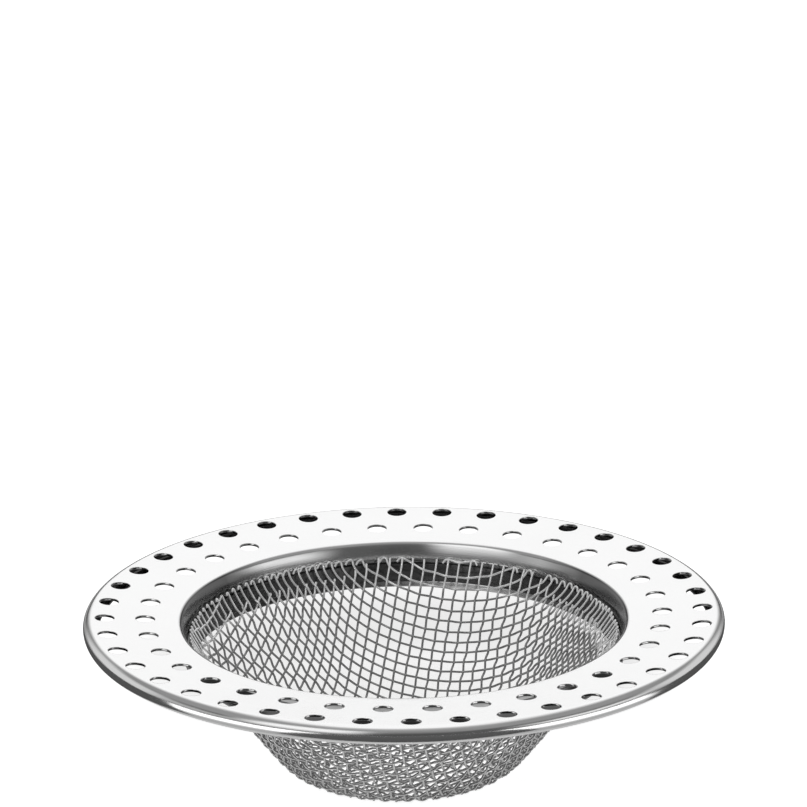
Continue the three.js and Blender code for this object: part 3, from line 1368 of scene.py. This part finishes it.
    def _half_wire(self, place: int, way: Way) -> list[tuple[Crossing, float]]:
        """Follows one half of a wire: woven, then combed aside up the wall to its end.

        A warp wire ends in a hook, and a weft wire is cut, the shorter the more it leans.

        Args:
            place: which wire, counted from the one through the middle.
            way: whether it is a warp or a weft wire.

        Returns:
            Places in the solved quarter, each with the wire's distance from the middle surface.
        """
        arm = self._arm(place, way)
        edge = self.section.edge_run
        limit = edge if not arm or arm[0].run > self.comb_start else self.comb_start
        woven = [spot for spot in arm if spot.run <= limit]
        path = [
            (self._kinked(spot, place + step), self._lift(place, step, way))
            for step, spot in enumerate(woven)
        ]
        if not woven or len(woven) == len(arm):
            return path
        inside, beyond = woven[-1], arm[len(woven)]
        steepness = (beyond.angle - inside.angle) / (beyond.run - inside.run)
        angle = inside.angle + steepness * (limit - inside.run)
        lean = min(self.steepest_lean, abs(steepness) * self.section.edge_radius)
        sense = math.copysign(1 / self.section.edge_radius, steepness)
        side = self.comb_lift if way is Way.WARP else -self.comb_lift
        rise = edge + self.chance.uniform(-1, 1) * self.cut_spread - limit
        if way is Way.WEFT:
            start, end = self.weft_cut
            share = (inside.angle - start) / (end - start)
            rise *= min(1.0, max(self.weft_stub, share))
        drift = self.comb_swing * lean * rise
        for step in range(self.comb_steps + 1):
            share = step / self.comb_steps
            swing = drift * (1 - (1 - share) ** 2)
            path.append((self.place(limit + rise * share, angle + sense * swing), side))
        if way is Way.WEFT:
            return path
        strength = min(1.0, max(self.least_hook, lean / self.hook_lean))
        reach = strength * self.hook_reach
        tip = angle + sense * drift
        path.append((self.place(limit + rise, tip + sense * reach * self.hook_middle), side))
        path.append((self.place(limit + rise - strength * self.hook_drop, tip + sense * reach), side))
        return path

    def _wire(self, place: int, way: Way) -> list[Vector]:
        """Finds the centre line of one wire.

        Args:
            place: which wire, counted from the one through the middle.
            way: whether it is a warp or a weft wire.

        Returns:
            The points that the centre line passes through.
        """
        across = -1 if place < 0 else 1
        halves = []
        for onward in (-1, 1):
            signs = (across, onward) if way is Way.WARP else (onward, across)
            half = []
            for spot, lift in self._half_wire(place, way):
                moved = self._mirrored(spot, *signs)
                half.append(moved.point + self._stray(moved) + self._hang(moved) + moved.outward * lift)
            halves.append(half)
        return halves[0][:0:-1] + halves[1]

    def _mirrored(self, spot: Crossing, across: int, onward: int) -> Crossing:
        """Takes a crossing of the solved quarter to its place in the whole turned bowl.

        Args:
            spot: the crossing in the quarter.
            across: -1 to mirror it across the weft's axis, or 1.
            onward: -1 to mirror it across the warp's axis, or 1.

        Returns:
            The crossing in the whole bowl's frame.
        """
        move = Matrix.Rotation(self.turn, 3, "Z") @ Matrix.Diagonal((across, onward, 1))
        return Crossing(
            spot.run,
            spot.angle,
            move @ spot.point,
            move @ spot.along,
            move @ spot.around,
            move @ spot.outward,
        )

    def _smooth(self, line: Sequence[Vector]) -> list[Vector]:
        """Runs a smooth curve through the points of a wire.

        Args:
            line: the points.

        Returns:
            The curve's points.
        """
        ends = [line[0] * 2 - line[1]] + list(line) + [line[-1] * 2 - line[-2]]
        curve = []
        for before, here, there, after in zip(ends, ends[1:], ends[2:], ends[3:]):
            for step in range(self.samples):
                share = step / self.samples
                bend = (before * 2 - here * 5 + there * 4 - after) * share**2
                twist = (here * 3 - before - there * 3 + after) * share**3
                curve.append((here * 2 + (there - before) * share + bend + twist) / 2)
        return curve + [line[-1]]

    def build(self, way: Way) -> bpy.types.Object:
        """Makes all the wires of one way.

        Args:
            way: warp or weft.

        Returns:
            The wires' object.
        """
        points: list[Vector] = []
        edges: list[tuple[int, int]] = []
        last = max(key[0] if way is Way.WARP else key[1] for key in self.net)
        for place in range(-last, last + 1):
            line = self._wire(place, way)
            if len(line) < 2:
                continue
            curve = self._smooth(line)
            start = len(points)
            points += curve
            edges += [(near, near + 1) for near in range(start, len(points) - 1)]
        name = f"{way.value}_wires"
        lines = new_object("lines", mesh_from("lines", points, edges=edges))
        values = {
            "Wire radius": self.wire_radius,
            "Sides": self.sides,
            "Finish": self.finish.material(),
        }
        mesh = bake_nodes(lines, wires_on_lines(), values)
        mesh.name = name
        return new_object(name, mesh)


@dataclass(frozen=True)
class SoftPanel:
    """A soft bright panel of the surroundings, by its bearing to the left of the camera's side.

    Its foot, full level, fade and top are rises of the line of sight, from -1 below to 1 above.
    """

    bearing: float
    half_width: float
    level: float
    softness: float = math.radians(10)
    foot: float = 0.0
    full: float = 0.55
    fade: float = 0.72
    top: float = 0.85


@dataclass
class Studio:
    """Plain white floor, dark cards, soft lamp and surroundings, and the photograph's camera."""

    aim: Vector
    picture_size: int = 807
    focal_pixels: float = 6819.3
    sensor_width: float = 36.0
    camera_distance: float = 1190.7 * MM
    elevation: float = math.radians(20.46)
    roll: float = math.radians(0.63)
    aim_pixel: tuple[float, float] = (403.3, 611.9)
    floor_half: float = 4.0
    floor_colour: Colour = grey(0.5)
    floor_glow: float = 0.85
    shade_middle: tuple[float, float, float] = (0.0, 66.0 * MM, 0.0)
    shade_edge: tuple[float, float] = (60.0 * MM, 42.0 * MM)
    shade_depth: float = 0.24
    mirror_edge: tuple[float, float] = (78.0 * MM, 110.0 * MM)
    mirror_depth: tuple[float, float] = (0.0, -40.0 * MM)
    under_edge: tuple[float, float] = (66.0 * MM, 50.0 * MM)
    under_share: float = 0.25
    dark_wall: Colour = grey(0.09)
    ceiling: Colour = grey(0.28)
    ceiling_edge: tuple[float, float] = (0.4, 0.68)
    skyline: tuple[float, float] = (0.12, 0.19)
    strip_edge: tuple[float, float] = (0.45, 0.1)
    wall_levels: tuple[tuple[float, float], ...] = (
        (0.0, 1.0),
        (0.4, 1.0),
        (0.5, 0.62),
        (0.59, 0.4),
        (0.72, 0.29),
        (0.86, 0.22),
        (0.93, 0.12),
        (0.97, 0.075),
        (1.0, 0.065),
    )
    panels: tuple[SoftPanel, ...] = (
        SoftPanel(bearing=math.radians(40), half_width=math.radians(20), level=1.0),
        SoftPanel(
            bearing=math.radians(-70),
            half_width=math.radians(22),
            level=0.85,
            softness=math.radians(16),
            foot=0.05,
            full=0.25,
            fade=0.3,
            top=0.5,
        ),
        SoftPanel(
            bearing=math.radians(88),
            half_width=math.radians(24),
            level=0.42,
            softness=math.radians(12),
            foot=0.06,
            full=0.14,
            fade=0.36,
            top=0.46,
        ),
        *(
            SoftPanel(
                bearing=side * math.radians(125),
                half_width=math.radians(25),
                level=0.65,
                foot=-0.2,
                full=-0.1,
                fade=0.4,
                top=0.6,
            )
            for side in (1, -1)
        ),
    )
    cards: tuple[tuple[tuple[float, float], ...], ...] = (
        (
            (-38 * MM, -60 * MM),
            (-1600 * MM, -3000 * MM),
            (1800 * MM, -3000 * MM),
            (40 * MM, -60 * MM),
        ),
        (
            (-58 * MM, -36 * MM),
            (-58 * MM, 120 * MM),
            (-700 * MM, 400 * MM),
            (-700 * MM, -60 * MM),
        ),
        (
            (58 * MM, -22 * MM),
            (700 * MM, -30 * MM),
            (700 * MM, 400 * MM),
            (58 * MM, 120 * MM),
        ),
    )
    card_height: float = 0.5 * MM
    card_level: Colour = grey(0.1)
    clip_end: float = 20.0
    lamp_power: float = 8.5
    lamp_size: float = 0.4
    lamp_distance: float = 1.2
    lamp_rise: float = math.radians(40)

    def build_camera(self) -> None:
        """Places the camera so that the brim falls where the photograph has it."""
        back = Vector((0, -math.cos(self.elevation), math.sin(self.elevation)))
        right = Vector((1, 0, 0))
        forward = -back
        up = right.cross(forward)
        basis = Matrix((right, up, forward))
        roll = Matrix.Rotation(self.roll, 3, "Z")
        middle = (self.picture_size - 1) / 2
        toward = Vector(
            (
                (self.aim_pixel[0] - middle) / self.focal_pixels,
                -(self.aim_pixel[1] - middle) / self.focal_pixels,
                1,
            )
        )
        swing = Vector((0, 0, 1)).rotation_difference(toward).to_matrix()
        rows = swing @ roll @ basis
        data = bpy.data.cameras.new("camera")
        data.sensor_width = self.sensor_width
        data.lens = self.focal_pixels / self.picture_size * self.sensor_width
        data.clip_end = self.clip_end
        camera = bpy.data.objects.new("camera", data)
        turned = Matrix((rows[0], rows[1], -rows[2])).transposed().to_4x4()
        turned.translation = self.aim + back * self.camera_distance
        camera.matrix_world = turned
        bpy.context.scene.collection.objects.link(camera)
        bpy.context.scene.camera = camera

    def build_floor(self) -> None:
        """Lays the white floor, which keeps the shadow and has a painted shadow behind the strainer,
        where it glows less.
        """
        corners = [
            Vector((x * self.floor_half, y * self.floor_half, 0))
            for x, y in ((-1, -1), (1, -1), (1, 1), (-1, 1))
        ]
        floor = new_object("floor", mesh_from("floor", corners, [(0, 1, 2, 3)]))
        made = bpy.data.materials.new("white_floor")
        made.use_nodes = True
        sketch = NodeSketch(made.node_tree)
        path = sketch.add("ShaderNodeLightPath")
        place = sketch.add("ShaderNodeTexCoord").outputs["Object"]
        depth = sketch.add("ShaderNodeSeparateXYZ", {"Vector": place}).outputs["Y"]
        away = sketch.add("ShaderNodeVectorMath", {0: place}, {"operation": "LENGTH"})
        middle = away.outputs["Value"]
        clear = sketch.step(middle, *self.mirror_edge)
        clear = sketch.math("MULTIPLY", clear, sketch.step(depth, *self.mirror_depth))
        under = sketch.math("MULTIPLY", sketch.step(middle, *self.under_edge), self.under_share)
        clear = sketch.math("MAXIMUM", clear, under)
        mirrored = sketch.math("MULTIPLY", path.outputs["Is Glossy Ray"], clear)
        seen = sketch.math(
            "MAXIMUM", path.outputs["Is Camera Ray"], path.outputs["Is Transmission Ray"]
        )
        seen = sketch.math("MAXIMUM", seen, mirrored)
        # Painted shadow: the glow is lower in a soft patch behind the strainer.
        behind = sketch.add(
            "ShaderNodeVectorMath", {0: place, 1: self.shade_middle}, {"operation": "DISTANCE"}
        )
        shade = sketch.step(behind.outputs["Value"], *self.shade_edge)
        taken = sketch.math("MULTIPLY", shade, self.shade_depth)
        left = sketch.math("SUBTRACT", self.floor_glow, taken)
        glow = sketch.add("ShaderNodeEmission", {"Strength": sketch.math("MULTIPLY", seen, left)})
        paint = sketch.add("ShaderNodeBsdfDiffuse", {"Color": self.floor_colour})
        both = sketch.add(
            "ShaderNodeAddShader", {0: glow.outputs["Emission"], 1: paint.outputs["BSDF"]}
        )
        sketch.add("ShaderNodeOutputMaterial", {"Surface": both.outputs["Shader"]})
        floor.data.materials.append(made)

    def build_cards(self) -> None:
        """Lays dark cards in front and at both sides, which only the metal's reflections see."""
        corners = [Vector((x, y, self.card_height)) for card in self.cards for x, y in card]
        sides = len(self.cards[0])
        faces = [range(start, start + sides) for start in range(0, len(corners), sides)]
        card = new_object("dark_cards", mesh_from("dark_cards", corners, faces))
        made = bpy.data.materials.new("dark_card")
        made.use_nodes = True
        sketch = NodeSketch(made.node_tree)
        paint = sketch.add("ShaderNodeBsdfDiffuse", {"Color": self.card_level})
        sketch.add("ShaderNodeOutputMaterial", {"Surface": paint.outputs["BSDF"]})
        card.data.materials.append(made)
        card.visible_camera = False
        card.visible_diffuse = False
        card.visible_shadow = False
        card.visible_transmission = False

    def build_lamp(self) -> None:
        """Hangs a soft lamp over the camera, which lights what isn't a mirror."""
        light = bpy.data.lights.new("soft_lamp", "AREA")
        light.energy = self.lamp_power
        light.size = self.lamp_size
        lamp = bpy.data.objects.new("soft_lamp", light)
        back = Vector((0, -math.cos(self.lamp_rise), math.sin(self.lamp_rise)))
        lamp.location = self.aim + back * self.lamp_distance
        lamp.rotation_euler = back.to_track_quat("Z", "Y").to_euler()
        lamp.visible_glossy = False
        bpy.context.scene.collection.objects.link(lamp)

    def build_surroundings(self) -> None:
        """Lights the strainer from a pale back and soft panels, with dark sides and a dim ceiling."""
        world = bpy.data.worlds.new("studio")
        bpy.context.scene.world = world
        world.use_nodes = True
        sketch = NodeSketch(world.node_tree)
        direction = sketch.add("ShaderNodeTexCoord").outputs["Generated"]
        axes = sketch.add("ShaderNodeSeparateXYZ", {"Vector": direction})
        frontness = sketch.add(
            "ShaderNodeMapRange", {"Value": axes.outputs["Y"], "From Min": 1.0, "From Max": -1.0}
        )
        walls = sketch.add("ShaderNodeValToRGB", {"Fac": frontness.outputs["Result"]})
        ramp = walls.color_ramp
        while len(ramp.elements) < len(self.wall_levels):
            ramp.elements.new(1.0)
        for element, (position, level) in zip(ramp.elements, self.wall_levels):
            element.position = position
            element.color = grey(level)
        above = sketch.step(axes.outputs["Z"], *self.skyline)
        aside = sketch.math("ABSOLUTE", axes.outputs["X"])
        middle = sketch.step(aside, *self.strip_edge)
        shown = sketch.math("MULTIPLY", above, middle)
        overhead = sketch.step(axes.outputs["Z"], *self.ceiling_edge)
        sides = sketch.blend(overhead, self.dark_wall, self.ceiling)
        colour = sketch.blend(shown, sides, walls.outputs["Color"])
        flat = sketch.add("ShaderNodeCombineXYZ", {"X": axes.outputs["X"], "Y": axes.outputs["Y"]})
        level = sketch.add(
            "ShaderNodeVectorMath", {0: flat.outputs["Vector"]}, {"operation": "NORMALIZE"}
        )
        for panel in self.panels:
            facing = (-math.sin(panel.bearing), -math.cos(panel.bearing), 0.0)
            near = sketch.add(
                "ShaderNodeVectorMath",
                {0: level.outputs["Vector"], 1: facing},
                {"operation": "DOT_PRODUCT"},
            )
            start = math.cos(panel.half_width + panel.softness)
            end = math.cos(panel.half_width - panel.softness)
            across = sketch.step(near.outputs["Value"], start, end)
            rise = sketch.step(axes.outputs["Z"], panel.foot, panel.full)
            fall = sketch.step(axes.outputs["Z"], panel.top, panel.fade)
            share = sketch.math("MULTIPLY", across, sketch.math("MULTIPLY", rise, fall))
            colour = sketch.blend(share, colour, grey(panel.level))
        lit = sketch.add("ShaderNodeBackground", {"Color": colour, "Strength": 1.0})
        white = sketch.add("ShaderNodeBackground", {"Color": grey(1.0), "Strength": 1.0})
        seen = sketch.add("ShaderNodeLightPath").outputs["Is Camera Ray"]
        either = sketch.add(
            "ShaderNodeMixShader",
            {0: seen, 1: lit.outputs["Background"], 2: white.outputs["Background"]},
        )
        sketch.add("ShaderNodeOutputWorld", {"Surface": either.outputs["Shader"]})

    def build(self) -> None:
        """Sets up the floor, the cards, the lamp, the surroundings and the camera."""
        bpy.context.scene.view_settings.view_transform = "Standard"
        self.build_floor()
        self.build_cards()
        self.build_lamp()
        self.build_surroundings()
        self.build_camera()


POLISHED_SHEET = SteelFinish(
    name="polished_sheet_steel",
    slot=Slot.POLISHED_SHEET,
    bright=grey(0.97),
    dull=grey(0.92),
    cloud_scale=90.0,
    mark_scale=5000.0,
    glossy=0.1,
    matt=0.2,
    mark_depth=0.008 * MM,
    marks=Marks.ROUND_THE_AXIS,
    # Painted shade: the colour that the brim is darkened towards in its bead, underneath and at the
    # lip's sides.
    painted_shade_colour=grey(0.12),
)
ROLLED_STRIP = SteelFinish(
    name="rolled_strip_steel",
    slot=Slot.HOOP_STRIP,
    bright=grey(0.97),
    dull=grey(0.8),
    cloud_scale=160.0,
    mark_scale=3000.0,
    glossy=0.15,
    matt=0.3,
    mark_depth=0.004 * MM,
    marks=Marks.ROUND_THE_AXIS,
    # Painted shade: the colour that the hoop is darkened towards.
    painted_shade_colour=grey(0.13),
)
DRAWN_WIRE = SteelFinish(
    name="drawn_wire_steel",
    slot=Slot.WOVEN_WIRE,
    bright=grey(0.98),
    dull=grey(0.85),
    cloud_scale=420.0,
    mark_scale=6000.0,
    glossy=0.12,
    matt=0.26,
    mark_depth=0.002 * MM,
    marks=Marks.SPOTTED,
    metal=0.75,
    # Painted shade: the colour of the wires' faces towards the bowl's inside.
    inside_shade=grey(0.36),
)
BOWL_EDGE = (37.2 * MM, 25.4 * MM)
BOWL_FLOOR = 0.51 * MM
BRIM_AIM_HEIGHT = 28.86 * MM


def attach(piece: bpy.types.Object, nodes: Sequence[str]) -> None:
    """Hands a finished piece to the frame and reports it.

    Args:
        piece: the piece.
        nodes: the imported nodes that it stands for.
    """
    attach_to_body(piece, BODY)
    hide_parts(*nodes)
    piece.data.calc_loop_triangles()
    LOG.info("%s: %d triangles for %d nodes", piece.name, len(piece.data.loop_triangles), len(nodes))


def main() -> None:
    """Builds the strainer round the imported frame, and the studio round the strainer."""
    logging.basicConfig(level=logging.INFO, format="%(name)s: %(message)s")
    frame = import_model()
    low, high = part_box("brim")
    brim = BrimSheet(outer_radius=high.x, top=high.z, foot=low.z, finish=POLISHED_SHEET)
    attach(brim.build(), ["brim"])
    low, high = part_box("mesh_hoop")
    hoop = StripHoop(outer_radius=high.x, top=high.z, foot=low.z, finish=ROLLED_STRIP)
    attach(hoop.build(), ["mesh_hoop"])
    cloth = WireCloth(BowlSection(BOWL_EDGE[0], BOWL_EDGE[1], BOWL_FLOOR), DRAWN_WIRE)
    for way in Way:
        nodes = [name for name in sorted(frame["nodes"]) if name.startswith(way.value)]
        attach(cloth.build(way), nodes)
    Studio(aim=Vector((0, 0, BRIM_AIM_HEIGHT))).build()


if __name__ == "__main__":
    main()
